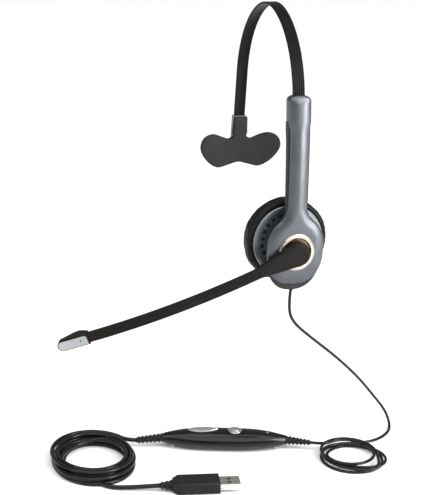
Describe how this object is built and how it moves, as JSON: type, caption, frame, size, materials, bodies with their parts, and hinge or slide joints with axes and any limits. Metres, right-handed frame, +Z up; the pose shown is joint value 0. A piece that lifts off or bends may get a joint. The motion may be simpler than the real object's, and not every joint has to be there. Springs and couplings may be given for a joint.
{
  "type": "headset",
  "caption": "Single-ear office headset with a T-bar headband, a microphone boom that turns, a tilting ear cup, and a cord with an in-line control box and a USB plug.",
  "frame": {"origin": "inner face of the headband at its crown, where it rests on the wearer's head", "axes": "+Z up; the wearer looks along -Y; the ear cup is on the +X side, the T-bar on the -X side, and the boom points forward along -Y"},
  "size_m": [0.154, 0.2689, 0.3275],
  "materials": {
    "silver_paint": "satin metallic paint with a fine speckle",
    "dark_shell": "fine matt moulding",
    "black_band": "satin, fine lengthwise ribs",
    "spring_steel": "satin",
    "tbar_rubber": "soft matt",
    "tbar_backing": "satin",
    "bright_ring": "polished, warm",
    "bushing_bronze": "dark sintered bronze, worn bright where the axle turns",
    "boom_black": "satin",
    "natural_plastic": "plain moulding",
    "mic_silver": "satin",
    "capsule_metal": "plain",
    "seal_foam": "open foam",
    "plate_silver": "satin metallic paint",
    "mesh_black": "woven",
    "speaker_plastic": "plain moulding",
    "magnet": "plated",
    "diaphragm": "thin clear film",
    "leatherette": "soft grain with wrinkles",
    "gloss_black": "polished",
    "base_grey": "fine matt",
    "key_silver": "satin silver",
    "circuit_board": "solder mask",
    "indicator": "milky lens",
    "relief_rubber": "satin",
    "cord_pvc": "glossy",
    "plug_black": "satin",
    "nickel": "nickel plated",
    "tongue_black": "plain moulding",
    "contact_gold": "gold plated"
  },
  "bodies": {
    "headband": {"headband_strip": "black_band", "headband_steel_core": "spring_steel", "headband_stop": "spring_steel", "tbar_rivet": "spring_steel", "tbar_frame": "tbar_backing", "tbar_pad": "tbar_rubber"},
    "arm": {"arm_outer_cover": "silver_paint", "arm_inner_shell": "dark_shell", "arm_screws": "spring_steel", "headband_guide": "natural_plastic", "click_spring": "spring_steel", "pivot_ring": "bright_ring", "boom_bushing": "bushing_bronze", "friction_washer": "spring_steel", "cord_grommet": "relief_rubber", "junction_board": "circuit_board", "knuckle_upright_pins": "spring_steel", "control_top_shell": "gloss_black", "control_bottom_shell": "base_grey", "control_screws": "spring_steel", "control_board": "circuit_board", "tact_switches": "spring_steel", "rocker_pin": "spring_steel", "button_bezel": "key_silver", "led_lens": "indicator", "relief_headset_side": "relief_rubber", "relief_usb_side": "relief_rubber", "plug_overmould": "plug_black", "plug_relief": "relief_rubber", "usb_shell": "nickel", "usb_tongue": "tongue_black", "usb_contacts": "contact_gold", "headset_cord_drop": "cord_pvc", "headset_cord_coil": "cord_pvc", "headset_cord_lead": "cord_pvc", "usb_cord_lead": "cord_pvc", "usb_cord_coil": "cord_pvc", "usb_cord_tail": "cord_pvc"},
    "knuckle": {"swivel_knuckle": "dark_shell"},
    "cup": {"knuckle_level_pin": "spring_steel", "ear_plate": "plate_silver", "rear_mesh": "mesh_black", "speaker_basket": "speaker_plastic", "speaker_magnet": "magnet", "speaker_diaphragm": "diaphragm", "speaker_grille": "speaker_plastic", "ear_foam": "seal_foam", "cushion_ring": "speaker_plastic", "ear_cushion": "leatherette"},
    "boom": {"boom_axle": "spring_steel", "axle_clip": "spring_steel", "boom_hub": "boom_black", "boom_arm": "boom_black", "boom_core_wire": "spring_steel", "mic_housing": "boom_black", "mic_plate": "mic_silver", "mic_capsule": "capsule_metal", "mic_gasket": "seal_foam"},
    "rocker": {"volume_rocker": "key_silver"},
    "button": {"call_button": "key_silver"}
  },
  "joints": [
    {"name": "headband_slide", "type": "slide", "parent": "arm", "child": "headband", "axis": [-0.1045, 0, 0.9945], "range_m": [0, 0.026]},
    {"name": "boom_turn", "type": "hinge", "parent": "arm", "child": "boom", "pos_m": [0.0703, 0, -0.1607], "axis": [-1, 0, 0], "range_deg": [-33, 92]},
    {"name": "cup_turn", "type": "hinge", "parent": "arm", "child": "knuckle", "pos_m": [0.0558, -0.0012, -0.1565], "axis": [0, 0, 1], "range_deg": [-7, 7]},
    {"name": "cup_tilt", "type": "hinge", "parent": "knuckle", "child": "cup", "pos_m": [0.0558, -0.0012, -0.1565], "axis": [0, 1, 0], "range_deg": [-7, 7]},
    {"name": "volume_rock", "type": "hinge", "parent": "arm", "child": "rocker", "pos_m": [0.01533, -0.04787, -0.315], "axis": [-0.9527, 0.304, 0], "range_deg": [-3.5, 3.5], "stiffness_Nm_per_rad": 0.01},
    {"name": "call_press", "type": "slide", "parent": "arm", "child": "button", "axis": [0, 0, -1], "range_m": [0, 0.0008], "stiffness_N_per_m": 400}
  ]
}
